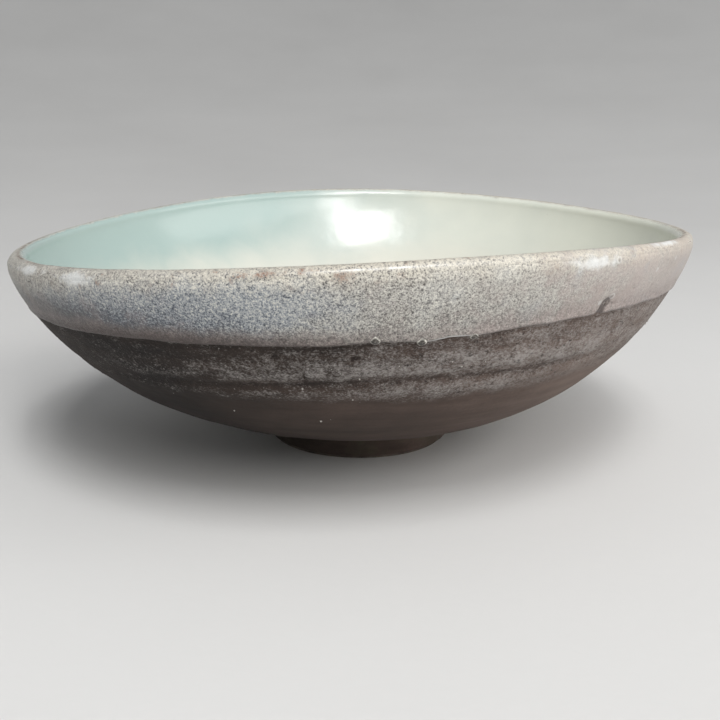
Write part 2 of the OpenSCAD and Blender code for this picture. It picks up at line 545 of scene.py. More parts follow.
def with_grain(s, seed, torn, relief):
    """Adds the clay's grain: torn and rough on the upper wall, fine turning marks elsewhere."""
    coarse = noise(s.at, 480.0, 3.0, 0.65, seed=seed + 2.0) * (0.50 * MM)
    fine = noise(stretch(s.at, (1, 1, 1.8)), 1150.0, 2.0, 0.65, seed=seed + 3.0) * (0.36 * MM)
    turning = noise(stretch(s.at, (0.06, 0.06, 1)), 900.0, 2.0, 0.6, seed=seed + 5.0) * (0.12 * MM)
    rough = torn * (front_share(s.turn) * 0.65 + 0.35)
    return relief + (coarse + fine) * (rough * 0.9 + 0.1) + turning * (1.0 - torn)


def clay_offset(s):
    seed = s.size["Seed"]
    above_edge = s.along - LIP_AT + line_reach(s, s.size["Line seed"])
    undercut = above_edge.bell(-0.7 * MM, 0.6 * MM) * front_share(s.turn) * (-0.24 * MM)
    torn = s.z.ramp(20 * MM, 27 * MM) * above_edge.ramp(0.5 * MM, -1.5 * MM)
    lumps = noise(s.at, 90.0, 2.0, 0.5, seed=seed + 4.0) * (0.4 * MM)
    relief = with_grain(s, seed, torn, ring_relief(s, seed) + lumps + undercut)
    for angle, centre, wide, tall, deep in GOUGES:
        relief = relief - s.mark(angle, centre, wide, tall) * deep
    from_foot = s.along.ramp(FOOT_AT + 1 * MM, FOOT_AT + 6 * MM)
    on_wall = from_foot * s.along.ramp(LIP_AT, LIP_AT - 5 * MM)
    recess = s.along.ramp(FOOT_AT - 1 * MM, FOOT_AT - 5 * MM)
    spiral = noise(vector(s.tree, s.r, 0.0, 0.0), 700.0, 2.0, seed=seed + 6.0)
    relief = relief * on_wall + spiral * recess * (0.25 * MM)
    return relief, {"relief": relief, "below_lip": LIP_AT - s.along}


def clay_rule(surface):
    """Most rows lie on the bare outside wall. The glaze hides the others, or the foot does."""
    knots = (
        (0.0, 0.0),
        (0.08, FOOT_AT),
        (0.86, LIP_AT - 8 * MM),
        (0.91, LIP_AT + 6 * MM),
        (1.0, END_AT),
    )
    return in_stretches(surface.share, knots), clay_offset


def coat_edge(distance, width):
    """A rounded edge: 0 at the edge and 1 a width inside it."""
    left = 1.0 - (distance / width).clamp()
    return (1.0 - left * left).most(0.0).math("SQRT")


def there_and_back(surface, face_share):
    """Runs out along the face of a coat and back along its underside, so that the coat closes. The face's
    last row and the underside's first lie at the same distance."""
    gaps = surface.size["Rows"] - 1.0
    out = (surface.share / face_share).clamp()
    back = (((surface.share - face_share) * gaps - 1.0) / (gaps * (1.0 - face_share) - 1.0)).clamp()
    return out, 1.0 - back, surface.share.math("LESS_THAN", face_share + ROUNDING)


# The share of each coat's rows that lies on its face
GREY_FACE = 0.8
PALE_FACE = 0.82
# The ragged edges of the coats are looked up on a circle of this radius
EDGE_CIRCLE = 0.07
# Where the grey glaze's edge sags, beside its beads: angle, half width, depth
SAGS = (
    (242.0, 20.0 * MM, -0.65 * MM),
    (272.4, 1.6 * MM, -0.45 * MM),
    (279.0, 2.8 * MM, 0.55 * MM),
    (286.5, 4.0 * MM, 0.4 * MM),
)


def line_waves(turn, cosine, sine):
    """How far the grey glaze's lower edge climbs, in waves round the bowl. It hangs lowest at the front."""
    long_waves = sine(turn) * 0.25 + cosine(turn * 2.0) * 0.8
    return long_waves - cosine(turn * 3.0) * 0.2 - sine(turn * 3.0) * 0.5


def on_edge_circle(surface):
    turn = surface.turn
    return vector(surface.tree, turn.cos() * EDGE_CIRCLE, turn.sin() * EDGE_CIRCLE, 0.0)


def line_reach(surface, seed):
    """Distance from the lip to the grey glaze's lower edge."""
    turn = surface.turn
    ragged = noise(on_edge_circle(surface), 130.0, 3.0, 0.6, seed=seed) * (1.1 * MM)
    reach = surface.size["Band reach"] - line_waves(turn, Field.cos, Field.sin) * BAND_WAVE + ragged
    for angle, wide, deep in SAGS:
        reach = (turn * EDGE_CIRCLE).bell(math.radians(angle) * EDGE_CIRCLE, wide) * deep + reach
    return reach


# Marks in the grey glaze: angle, height, half width, half height, depth
GLAZE_MARKS = (
    (309.1, 40.5 * MM, 1.00 * MM, 0.80 * MM, 0.8 * MM),
    (308.5, 39.6 * MM, 0.70 * MM, 0.80 * MM, 0.7 * MM),
    (308.2, 38.6 * MM, 0.90 * MM, 0.60 * MM, 0.8 * MM),
    (282.5, 43.8 * MM, 0.40 * MM, 0.36 * MM, 0.35 * MM),
    (277.8, 46.6 * MM, 0.36 * MM, 0.32 * MM, 0.35 * MM),
    (298.8, 45.2 * MM, 0.4 * MM, 0.3 * MM, 0.3 * MM),
    (314.8, 42.4 * MM, 0.5 * MM, 0.3 * MM, 0.25 * MM),
    (259.0, 45.6 * MM, 0.5 * MM, 0.4 * MM, 0.25 * MM),
    (95.0, 43.0 * MM, 0.6 * MM, 0.5 * MM, 0.4 * MM),
    (160.0, 41.0 * MM, 0.5 * MM, 0.5 * MM, 0.4 * MM),
)


def grey_relief(s, from_line):
    """Unevenness of the grey glaze: where it gathers, its skin, its pinholes and its marks."""
    seed = s.size["Seed"]
    gather = noise(s.at, 55.0, 1.0, seed=seed + 1.0) * (0.35 * MM)
    skin = noise(s.at, 700.0, 3.0, 0.65, seed=seed + 3.0) * (0.14 * MM)
    pits, lot = cells(s.at, 620.0, seed=seed + 4.0)
    pinholes = pits.ramp(0.34, 0.12) * lot.above(0.8) * (-0.22 * MM)
    relief = gather * from_line.ramp(1 * MM, 4 * MM) + skin + pinholes
    for angle, height, wide, tall, deep in GLAZE_MARKS:
        relief = relief - s.mark(angle, height, wide, tall) * deep
    return relief


def grey_rule(surface):
    out, back, on_face = there_and_back(surface, GREY_FACE)
    share = out * on_face + back * (1.0 - on_face)
    start = LIP_AT - line_reach(surface, surface.size["Line seed"])
    end = LIP_AT - LAP_REACH + GREY_TUCK
    along = start + (end - start) * share

    def offset(s):
        from_line = s.along - start
        roll = from_line.bell(0.6 * MM, 0.6 * MM) * (s.size["Roll"] - s.size["Thick"])
        uneven = noise(s.at, 110.0, 1.0, seed=s.size["Seed"] + 2.0) * 2.4 + 0.7
        thick = s.size["Thick"] * (front_share(s.turn) * 0.5 + 0.5) + roll * uneven
        relief = grey_relief(s, from_line)
        edge = coat_edge(from_line, 0.6 * MM) * (end - s.along).ramp(0.0, 3.0 * MM)
        face = (thick + relief + SUNK).most(0.1 * MM) * edge
        height = face * on_face - SUNK
        return height, {"relief": relief, "below_lip": LIP_AT - s.along, "from_line": from_line}

    return along, offset


def pale_relief(s, outer):
    """Unevenness of the pale glaze: blobs outside the lip, soft lumps and a finger spiral inside."""
    seed = s.size["Seed"]
    skin = noise(s.at, 700.0, 3.0, 0.65, seed=seed + 3.0) * (0.14 * MM)
    lumps = noise(s.at, 60.0, 2.0, 0.5, seed=seed + 1.0) * (0.22 * MM)
    blobs = noise(s.at, 260.0, 2.0, 0.5, seed=seed + 5.0).ramp(0.05, 0.2) * (0.10 * MM)
    spiral = noise(vector(s.tree, s.r, 0.0, s.z), 130.0, 1.0, seed=seed + 2.0)
    inner = s.along.ramp(LIP_AT + 4 * MM, LIP_AT + 12 * MM)
    return (skin * 0.6 + blobs) * outer + lumps * (1.0 - outer * 0.6) + spiral * inner * (0.25 * MM)


# Rows of the pale glaze's face lie closer until this far past the top of the lip, and this share of
# them lies there
LIP_STRETCH = 5 * MM
LIP_ROWS = 0.25


def pale_rule(surface):
    out, back, on_face = there_and_back(surface, PALE_FACE)
    seed = surface.size["Seed"]
    ragged = noise(on_edge_circle(surface), 160.0, 3.0, 0.6, seed=seed) * (1.8 * MM)
    waves = (surface.turn * 3.0).sin() * (0.4 * MM)
    start = LIP_AT - (surface.size["Reach"] + waves + ragged)
    near = (out / LIP_ROWS).clamp()
    far = ((out - LIP_ROWS) / (1.0 - LIP_ROWS)).clamp()
    face_along = start + (LIP_AT + LIP_STRETCH - start) * near + far * (END_AT - LIP_AT - LIP_STRETCH)
    back_along = start + (END_AT - start) * back
    along = face_along * on_face + back_along * (1.0 - on_face)

    def offset(s):
        outer = s.along.ramp(LIP_AT + 2 * MM, LIP_AT - 1 * MM)
        calm = s.along.ramp(END_AT, END_AT - 6 * MM)
        edge = (s.along - start).ramp(0.0, 3.4 * MM)
        thick = s.size["Thick"] * (1.0 - outer * 0.5)
        height = (thick + pale_relief(s, outer) * calm + SUNK) * edge * on_face - SUNK
        return height, {"below_lip": LIP_AT - s.along}

    return along, offset


# Share of the foot's outline, at each end, where its surface fades to the true outline
END_SHARE = 0.012


def foot_offset(s):
    """Turning marks, lumps and chips. The outline's two ends stay true, so that the foot closes."""
    seed = s.size["Seed"]
    raised = s.z.ramp(0.2 * MM, 1.4 * MM) * s.z.ramp(FOOT_HIGH - 0.1 * MM, FOOT_HIGH - 1.2 * MM)
    turning = noise(stretch(s.at, (0.08, 0.08, 1)), 800.0, 2.0, 0.6, seed=seed) * (0.35 * MM)
    lumps = noise(s.at, 110.0, 3.0, 0.55, seed=seed + 1.0) * (0.9 * MM)
    grain = noise(s.at, 900.0, 3.0, 0.6, seed=seed + 2.0) * (0.12 * MM)
    chips = noise(s.at, 210.0, 2.0, 0.5, seed=seed + 3.0).ramp(0.12, 0.26) * (-0.7 * MM)
    low = s.z.ramp(3.0 * MM, 0.6 * MM)
    off_ends = s.share.ramp(0.0, END_SHARE) * s.share.ramp(1.0, 1.0 - END_SHARE)
    relief = ((turning + lumps + grain) * raised + chips * low * raised.most(0.25)) * off_ends
    return relief, {"relief": relief}


def foot_rule(surface):
    return surface.share * FOOT_AROUND, foot_offset


# ---------------------------------------------------------------------------------------------
# Materials


def new_material(name):
    material = bpy.data.materials.new(name)
    material.use_nodes = True
    tree = material.node_tree
    shader = tree.nodes["Principled BSDF"]
    where = add_node(tree, "ShaderNodeTexCoord")
    return material, tree, shader, Field(tree, where.outputs["Object"])


def attribute(tree, name):
    return Field(tree, add_node(tree, "ShaderNodeAttribute", attribute_name=name).outputs["Fac"])


def blend(tree, share, first, second):
    node = add_node(tree, "ShaderNodeMix", data_type="RGBA")
    feed(tree, node.inputs[0], share)
    feed(tree, node.inputs[6], first)
    feed(tree, node.inputs[7], second)
    return Field(tree, node.outputs[2])


def colours(share, *stops):
    """Colours along a share: (share, colour) pairs."""
    node = add_node(share.tree, "ShaderNodeValToRGB", {0: share})
    ramp = node.color_ramp
    ramp.elements[0].position, ramp.elements[0].color = stops[0][0], (*stops[0][1], 1.0)
    ramp.elements[1].position, ramp.elements[1].color = stops[-1][0], (*stops[-1][1], 1.0)
    for position, colour in stops[1:-1]:
        ramp.elements.new(position).color = (*colour, 1.0)
    return Field(share.tree, node.outputs[0])


def finish_material(tree, shader, colour, rough, height, **constants):
    """Feeds the shader. The height is in metres."""
    feed(tree, shader.inputs["Base Color"], colour)
    feed(tree, shader.inputs["Roughness"], rough)
    bump = add_node(tree, "ShaderNodeBump", {"Strength": 1.0, "Distance": 1.0, "Height": height})
    feed(tree, shader.inputs["Normal"], Field(tree, bump.outputs[0]))
    for name, value in constants.items():
        shader.inputs[name.replace("_", " ")].default_value = value


# Colours of the grey glaze
DARK_SPECK_AND_SHADE = (0.045, 0.040, 0.038)
ASH_GREY = (0.215, 0.205, 0.19)
LIGHT_GREY = (0.42, 0.405, 0.37)
BONE = (0.62, 0.60, 0.54)
BLUE_SPECK = (0.041, 0.049, 0.064)
BLUE_GREY = (0.178, 0.197, 0.222)
PALE_BLUE = (0.37, 0.385, 0.39)
CREAM = (0.56, 0.51, 0.41)
ROSE_GREY = (0.205, 0.155, 0.147)
RUST = (0.185, 0.095, 0.062)
PALE_ROSE = (0.44, 0.37, 0.345)
WARM_BLOTCH = (0.33, 0.275, 0.25)
BURNT_AND_SHADE = (0.055, 0.041, 0.037)
WHITE_GLAZE_AND_HIGHLIGHT = (0.66, 0.67, 0.66)
GLINT_WHITE = (0.85, 0.85, 0.83)
# Colours of the pale glaze
DEEP_CELADON = (0.335, 0.425, 0.405)
CELADON = (0.47, 0.52, 0.485)
PALE_CELADON = (0.60, 0.62, 0.555)
STRAW = (0.70, 0.71, 0.62)
WARM_STRAW = (0.66, 0.62, 0.54)
IRON_SPECK = (0.33, 0.30, 0.23)
SCORCHED_AND_SHADE = (0.13, 0.085, 0.06)
# Colours of the clay
UMBER = (0.034, 0.0245, 0.020)
WARM_BROWN = (0.074, 0.052, 0.043)
DARK_CLAY_AND_SHADE = (0.014, 0.011, 0.010)
DRY_GREY = (0.36, 0.34, 0.325)
ROSE_BROWN = (0.19, 0.142, 0.12)
OLIVE = (0.085, 0.085, 0.055)
PALE_DUST = (0.42, 0.40, 0.375)
WORN_CLAY = (0.24, 0.20, 0.165)
# Colours of the beads, the grit and the floor, each from its shade to its lights
GLASS_COLOURS = ((0.3, (0.02, 0.018, 0.016)), (0.5, (0.05, 0.044, 0.038)), (0.8, (0.30, 0.28, 0.25)))
GRIT_COLOURS = ((0.3, (0.24, 0.22, 0.20)), (0.55, (0.44, 0.42, 0.385)), (0.8, (0.62, 0.60, 0.57)))
FLOOR_COLOURS = ((0.3, (0.60, 0.595, 0.585)), (0.7, (0.64, 0.635, 0.625)))

# A painted highlight, fine and bright, along the grey glaze's edge right of the front: its angle, and half
# its width
EDGE_GLINT = math.radians(-77.5)
EDGE_GLINT_WIDE = math.radians(3.6)
# Painted highlights, fine and bright, along the lip at the front, likewise
LIP_GLINT = math.radians(-87.5)
LIP_GLINT_WIDE = math.radians(5.5)
# Where white glaze gathers under the lip: angle, its half width, distance from the lip, its half width
WHITE_PATCHES = (
    (-57.0, 6.2, 2.9 * MM, 1.5 * MM),
    (-37.0, 8.0, 0.6 * MM, 0.9 * MM),
    (-140.0, 6.0, 1.4 * MM, 1.1 * MM),
    (-128.0, 4.5, 1.9 * MM, 1.1 * MM),
)
# Where rust shows through under the lip, likewise
RUST_PATCHES = (
    (-102.0, 3.0, 1.6 * MM, 0.7 * MM),
    (-96.5, 2.6, 1.3 * MM, 0.7 * MM),
    (-91.5, 1.6, 2.4 * MM, 1.0 * MM),
)


def patches(at, below_lip, places):
    """1 at each place under the lip, fading out over its half widths."""
    x, y, _ = parts_of(at)
    turn = y.math("ARCTAN2", x)
    total = 0.0
    for angle, across, reach, wide in places:
        total = turn.bell(math.radians(angle), math.radians(across)) * below_lip.bell(reach, wide) + total
    return total


def glaze_noises(at):
    """The noises that several colours of the grey glaze share, from broad to fine."""
    return {
        "patch": noise(at, 42.0, 3.0, 0.55, seed=3.0),
        "blur": noise(at, 190.0, 3.0, 0.55, seed=13.0),
        "tint": noise(at, 700.0, 2.0, 0.6, seed=9.0),
        "fleck": noise(at, 2000.0, 2.0, 0.6, seed=2.0),
        "grain": noise(at, 3800.0, 2.0, 0.7, seed=1.0),
    }


def speckle(tree, x, below_lip, right, value, n):
    """The glaze's speckled ground: bluish on the left front, warmer lower down and to the right."""
    neutral = colours(value, (0.1, DARK_SPECK_AND_SHADE), (0.36, ASH_GREY), (0.62, LIGHT_GREY), (0.92, BONE))
    bluish = colours(value, (0.1, BLUE_SPECK), (0.36, BLUE_GREY), (0.62, PALE_BLUE), (0.92, BONE))
    blue_side = x.bell(-32 * MM, 30 * MM) * below_lip.bell(7 * MM, 5 * MM)
    blue = (blue_side * 0.9 + n["patch"] * 0.8 + n["blur"] * 0.7 + n["tint"] * 0.4).ramp(0.05, 0.7)
    colour = blend(tree, blue, neutral, bluish)
    warm = n["patch"] * -0.8 + n["blur"] * -0.7 + n["tint"] * 0.5 + right * 0.35
    warm = (warm + below_lip / (60 * MM)).ramp(0.12, 0.6)
    return blend(tree, warm * 0.65, colour, PALE_ROSE)


def stained_under_lip(tree, at, below_lip, left, colour, n):
    """Cream, rust and gathered white glaze under the lip."""
    speck = n["grain"] + n["fleck"]
    cream = (below_lip + n["blur"] * (5 * MM)).ramp(5.0 * MM, 0.5 * MM) * (speck + 0.5).ramp(0.25, 0.6)
    colour = blend(tree, cream * (0.55 - left * 0.4), colour, CREAM)
    rusty = noise(at, 330.0, 4.0, 0.7, seed=5.0) + patches(at, below_lip, RUST_PATCHES) * 0.16
    spots = rusty.ramp(0.06, 0.2) * below_lip.ramp(5.5 * MM, 1.5 * MM)
    colour = blend(tree, spots * (speck * 3.0 + 0.55).clamp(), colour, RUST)
    gathered = patches(at, below_lip, WHITE_PATCHES) + n["blur"] * 1.8 + n["tint"] * 1.3
    return blend(tree, gathered.ramp(0.35, 1.15) * 0.85, colour, WHITE_GLAZE_AND_HIGHLIGHT)


def blotched(tree, at, x, colour):
    """Warm and pale blotches on the smoother right side."""
    blotch = noise(at, 130.0, 3.0, 0.6, seed=20.0)
    smooth_side = x.ramp(8 * MM, 40 * MM)
    colour = blend(tree, blotch.ramp(0.0, 0.16) * smooth_side * 0.4, colour, WARM_BLOTCH)
    return blend(tree, blotch.ramp(-0.02, -0.18) * smooth_side * 0.4, colour, PALE_BLUE)


def grey_glaze_look(tree, at, below_lip):
    """Colour, roughness and height of the ash glaze: speckled at the left and smooth at the right, with
    painted shade low down, most of all at the left.
    """
    x, y, _ = parts_of(at)
    right = (x + y * -0.15).ramp(12 * MM, 62 * MM)
    left = x.ramp(0.0, -60 * MM)
    low = below_lip.ramp(3.5 * MM, 12.5 * MM)
    n = glaze_noises(at)
    contrast = 1.0 - right * 0.5
    value = (n["grain"] * 1.8 + n["fleck"] * 1.35) * contrast + 0.56 + n["patch"] * 0.25 + n["blur"] * 0.4
    # Painted shade: the glaze darkens low down towards its edge, most of all at the left.
    value = value + below_lip.ramp(5 * MM, 0.0) * 0.03 - low * (left * 0.55 + right * 0.14 + 0.08)
    colour = speckle(tree, x, below_lip, right, value, n)
    colour = stained_under_lip(tree, at, below_lip, left, colour, n)
    colour = blotched(tree, at, x, colour)
    height = (n["grain"] * 0.11 + n["fleck"] * 0.13) * MM * contrast
    rough = value * 0.12 + 0.40 + n["grain"] * 0.2
    return colour, rough, height


def fired_and_shaded_edge(tree, at, x, from_line, ragged, colour):
    """The grey glaze turns rosy towards its lower edge, then darker: the rose is the glaze's own colour,
    and the dark is partly burnt glaze and partly painted shade, most of all at the left.
    """
    left = x.ramp(20 * MM, -40 * MM)
    pepper = noise(at, 2700.0, 2.0, 0.7, seed=17.0) * 2.4 + noise(at, 900.0, 2.0, 0.6, seed=18.0) * 0.9
    rosy = colours(pepper + 0.5, (0.3, BURNT_AND_SHADE), (0.5, ROSE_GREY), (0.75, PALE_ROSE))
    rose = (from_line + ragged).ramp(4.4 * MM, 0.6 * MM) * (left * 0.45 + 0.36)
    colour = blend(tree, rose, colour, rosy)
    # Painted shade, partly burnt glaze: darker towards the lower edge, most of all at the left.
    deep = (from_line + ragged * 0.5).ramp(4.6 * MM, 0.5 * MM) * (left * 0.78 + 0.06)
    colour = blend(tree, deep, colour, BURNT_AND_SHADE)
    burnt_and_shade = (from_line + ragged * 0.5).ramp(2.8 * MM, 0.2 * MM) * (left * (0.9 - pepper) + 0.03)
    colour = blend(tree, burnt_and_shade, colour, BURNT_AND_SHADE)
    # A dark rim along the very edge: painted shade under the glaze's edge, partly burnt glaze.
    rim = (from_line + ragged * 0.2).ramp(0.9 * MM, 0.2 * MM) * (left * 0.4 + 0.45)
    return blend(tree, rim, colour, BURNT_AND_SHADE)


def burst_bubbles(tree, at, x, colour):
    """Small bubbles that burst in the glaze on the right: a grey middle in a pale ring, the ring a painted
    highlight on each bubble's rim.
    """
    near, lot = cells(at, 380.0, seed=19.0)
    burst = lot.above(0.8) * x.ramp(-5 * MM, 25 * MM)
    colour = blend(tree, near.ramp(0.22, 0.12) * burst * 0.7, colour, ASH_GREY)
    # Painted highlight: a pale ring on each bubble's rim.
    return blend(tree, near.bell(0.25, 0.045) * burst * 0.4, colour, WHITE_GLAZE_AND_HIGHLIGHT)


def grey_glaze_material():
    material, tree, shader, at = new_material("ash_grey_glaze")
    below_lip = attribute(tree, "below_lip")
    from_line = attribute(tree, "from_line")
    colour, rough, height = grey_glaze_look(tree, at, below_lip)
    x, y, _ = parts_of(at)
    # Painted shade: the glaze is darkened at the far left and low down, where the bowl is in shade.
    far_left_shade = x.ramp(-36 * MM, -55 * MM) * below_lip.ramp(3.5 * MM, 8 * MM)
    colour = blend(tree, far_left_shade * 0.4, colour, DARK_SPECK_AND_SHADE)
    ragged = noise(at, 260.0, 3.0, 0.6, seed=7.0) * (2.4 * MM)
    colour = fired_and_shaded_edge(tree, at, x, from_line, ragged, colour)
    # A painted highlight along the glaze's lower edge, right of the front.
    glint = (from_line + ragged * 0.1).bell(0.45 * MM, 0.14 * MM)
    glint = glint * y.math("ARCTAN2", x).bell(EDGE_GLINT, EDGE_GLINT_WIDE)
    colour = blend(tree, glint * 0.8, colour, WHITE_GLAZE_AND_HIGHLIGHT)
    colour = burst_bubbles(tree, at, x, colour)
    # Painted shade in the hollows: darker where the glaze is sunk, in its marks and pinholes.
    uneven = noise(at, 1100.0, 3.0, 0.7, seed=16.0) * (0.7 * MM)
    sunk = (attribute(tree, "relief") + uneven).ramp(-0.14 * MM, -0.40 * MM)
    colour = blend(tree, sunk * 0.8, colour, BURNT_AND_SHADE)
    finish_material(tree, shader, colour, rough, height)
    return material


def celadon(tree, at, cloud, wisp):
    """Colour of the inside: bluer high at the left, where a teal reflection is painted, warmer low down and
    to the right, with iron specks.
    """
    x, _, z = parts_of(at)
    # Painted reflection of a teal wall: bluer and darker high at the left.
    teal_reflection = z.ramp(33 * MM, 47 * MM) * x.ramp(15 * MM, -45 * MM)
    tone = cloud * 0.9 + wisp * 0.14 + (x / (75 * MM)) * 0.42 + 0.5 - teal_reflection * 0.22
    inside = colours(tone, (0.1, DEEP_CELADON), (0.4, CELADON), (0.64, PALE_CELADON), (0.92, STRAW))
    warm = (z.ramp(46 * MM, 26 * MM) + wisp * 0.45 + cloud * 0.7).ramp(0.1, 1.0) * 0.6
    inside = blend(tree, warm, inside, WARM_STRAW)
    specks = noise(at, 1500.0, 2.0, 0.6, seed=6.0).ramp(0.22, 0.3) * 0.35
    return blend(tree, specks, inside, IRON_SPECK)


def lip_shade_and_highlight(tree, at, below_lip, ragged, wisp, colour):
    """A dark line on the inner edge of the lip at the front, partly scorched glaze and partly painted
    shade, and a painted highlight below it.
    """
    x, y, _ = parts_of(at)
    # Painted shade along the lip's inner edge at the front, partly scorched colour.
    burnt_and_shade = (below_lip + ragged * (0.7 * MM)).bell(-0.35 * MM, 0.32 * MM)
    broken = noise(at, 420.0, 3.0, 0.65, seed=11.0).ramp(-0.12, 0.12) * (y * -1.0).ramp(-20 * MM, 20 * MM)
    colour = blend(tree, burnt_and_shade * broken * 0.85, colour, SCORCHED_AND_SHADE)
    # A painted highlight along the lip at the front.
    glint = (below_lip + ragged * (0.4 * MM)).bell(1.45 * MM, 0.15 * MM)
    glint = glint * (ragged + wisp).ramp(-0.2, 0.05)
    glint = glint * y.math("ARCTAN2", x).bell(LIP_GLINT, LIP_GLINT_WIDE)
    return blend(tree, glint * 0.9, colour, GLINT_WHITE)


def pale_glaze_material():
    material, tree, shader, at = new_material("pale_celadon_glaze")
    below_lip = attribute(tree, "below_lip")
    cloud = noise(at, 22.0, 3.0, 0.55, seed=2.0)
    wisp = noise(at, 90.0, 4.0, 0.6, seed=4.0, twist=1.0)
    ragged = noise(at, 330.0, 3.0, 0.6, seed=8.0)
    grey, grey_rough, grey_height = grey_glaze_look(tree, at, below_lip)
    outer = (below_lip + ragged * (1.6 * MM)).ramp(-1.3 * MM, -0.2 * MM)
    colour = blend(tree, outer, celadon(tree, at, cloud, wisp), grey)
    colour = lip_shade_and_highlight(tree, at, below_lip, ragged, wisp, colour)
    fine = noise(at, 900.0, 2.0, 0.5, seed=14.0) * (0.012 * MM)
    broad = noise(at, 160.0, 2.0, 0.5, seed=15.0) * (0.10 * MM)
    height = grey_height * outer + (fine + broad) * (1.0 - outer)
    ridge = (below_lip + ragged * (0.5 * MM)).bell(1.6 * MM, 0.3 * MM) * (ragged + wisp).ramp(-0.2, 0.2)
    rough = (grey_rough - ridge * 0.28) * outer + (wisp * 0.08 + 0.19) * (1.0 - outer)
    finish_material(tree, shader, colour, rough, height)
    return material


# Bare clay is dull
CLAY_SPECULAR = 0.22


def bare_clay_look(tree, at, relief):
    """Colour, roughness and height of the bare stoneware: dry and grey where torn, with painted shade that
    darkens the left and the hollows.
    """
    x, y, z = parts_of(at)
    right = (x + y * -0.1).ramp(-45 * MM, 65 * MM)
    streak = noise(stretch(at, (0.09, 0.09, 1)), 520.0, 3.0, 0.6, seed=1.0)
    cloud = noise(at, 40.0, 3.0, 0.6, seed=2.0)
    grain = noise(at, 1500.0, 3.0, 0.7, seed=3.0)
    # Painted shade: the clay is darker towards the left, away from the light.
    tone = cloud * 0.6 + streak * 0.35 + grain * 0.25 + right * 0.62 + 0.16
    colour = colours(tone, (0.1, DARK_CLAY_AND_SHADE), (0.32, UMBER), (0.58, WARM_BROWN), (0.95, ROSE_BROWN))
    torn = (z + noise(at, 130.0, 3.0, 0.6, seed=9.0) * (5 * MM)).ramp(25.0 * MM, 27.0 * MM)
    sand = noise(stretch(at, (1, 1, 1.7)), 2300.0, 2.0, 0.7, seed=7.0)
    clumps = noise(stretch(at, (1, 1, 1.6)), 260.0, 4.0, 0.7, seed=4.0)
    scuffed = clumps * 3.4 + grain * 3.4 + sand * 4.2 + relief / (0.62 * MM)
    # The dry grey is the clay's own, painted lighter and wider on the right, the lit side: painted light.
    lit_side = (x - z.ramp(30 * MM, 28 * MM) * (20 * MM)).ramp(-42 * MM, 4 * MM)
    smooth = z.ramp(30 * MM, 28 * MM) * x.ramp(14 * MM, 42 * MM) * 0.65
    dry = (scuffed + right * 0.45 + lit_side * 0.7 - 0.57).ramp(-0.5, 1.9) * torn * (1.0 - smooth)
    colour = blend(tree, dry * 0.77, colour, DRY_GREY)
    # Painted shade in the hollows of the rings and gouges, less at the right.
    hollow_shade = (relief + (grain + sand) * (0.4 * MM)).ramp(-0.14 * MM, -0.50 * MM)
    colour = blend(tree, hollow_shade * (0.75 - right * 0.35), colour, DARK_CLAY_AND_SHADE)
    # Painted shade in small pits on the torn wall, most on the lit side.
    pits = noise(stretch(at, (1, 1, 1.5)), 1000.0, 3.0, 0.75, seed=8.0).ramp(0.06, 0.17) * torn * lit_side
    colour = blend(tree, pits * 0.7, colour, DARK_CLAY_AND_SHADE)
    fleck = noise(at, 1900.0, 1.0, 0.5, seed=6.0).ramp(0.2, 0.3) * torn
    colour = blend(tree, fleck * 0.6, colour, PALE_DUST)
    height = (grain * 0.28 + sand * 0.16 - pits * 0.12) * MM * (torn * 0.9 + 0.1) + streak * (0.04 * MM)
    rough = dry * 0.1 + grain * 0.15 + 0.72
    return colour, rough, height


def bare_clay_material():
    material, tree, shader, at = new_material("bare_stoneware")
    colour, rough, height = bare_clay_look(tree, at, attribute(tree, "relief"))
    finish_material(tree, shader, colour, rough, height, Specular_IOR_Level=CLAY_SPECULAR)
    return material


def foot_material():
    material, tree, shader, at = new_material("turned_foot_clay")
    colour, rough, height = bare_clay_look(tree, at, attribute(tree, "relief"))
    _, _, z = parts_of(at)
    olive = noise(at, 120.0, 3.0, 0.6, seed=21.0).ramp(-0.08, 0.15)
    colour = blend(tree, olive * 0.35, colour, OLIVE)
    worn = z.ramp(1.2 * MM, 0.1 * MM) * noise(at, 260.0, 3.0, 0.6, seed=22.0).ramp(-0.2, 0.15)
    colour = blend(tree, worn * 0.65, colour, WORN_CLAY)
    finish_material(tree, shader, colour, rough, height, Specular_IOR_Level=CLAY_SPECULAR)
    return material


def bead_material():
    """Dark glass, with a painted highlight: pale in a ring at the rim of each drop."""
    material, tree, shader, at = new_material("glassy_glaze_drops")
    swirl = noise(at, 1500.0, 3.0, 0.6, seed=1.0)
    colour = colours(swirl + 0.5, *GLASS_COLOURS)
    broken = (swirl * 3.0 + 0.7).clamp()
    # Painted highlight: a pale ring at the rim of each drop.
    colour = blend(tree, attribute(tree, "rim").ramp(0.6, 0.85) * broken * 0.8, colour, BONE)
    fine = noise(at, 2200.0, 2.0, 0.5, seed=2.0)
    finish_material(tree, shader, colour, fine * 0.1 + 0.16, fine * (0.03 * MM))
    return material


def grit_material():
    material, tree, shader, at = new_material("white_kiln_grit")
    grain = noise(at, 1800.0, 2.0, 0.6, seed=3.0)
    colour = colours(grain + 0.5, *GRIT_COLOURS)
    finish_material(tree, shader, colour, grain * 0.3 + 0.55, grain * (0.05 * MM))
    return material


# ---------------------------------------------------------------------------------------------
# Beads and grit


# The most that a grain is turned about each axis
WHOLE_TURNS = (6.28, 6.28, 6.28)


def named(tree, name, kind):
    """A named attribute of the mesh that a tree works on."""
    node = add_node(tree, "GeometryNodeInputNamedAttribute", {"Name": name}, data_type=kind)
    return Field(tree, node.outputs[0])


def random_number(tree, low, high, seed):
    node = add_node(tree, "FunctionNodeRandomValue", {2: low, 3: high, "Seed": seed}, data_type="FLOAT")
    return Field(tree, node.outputs[1])


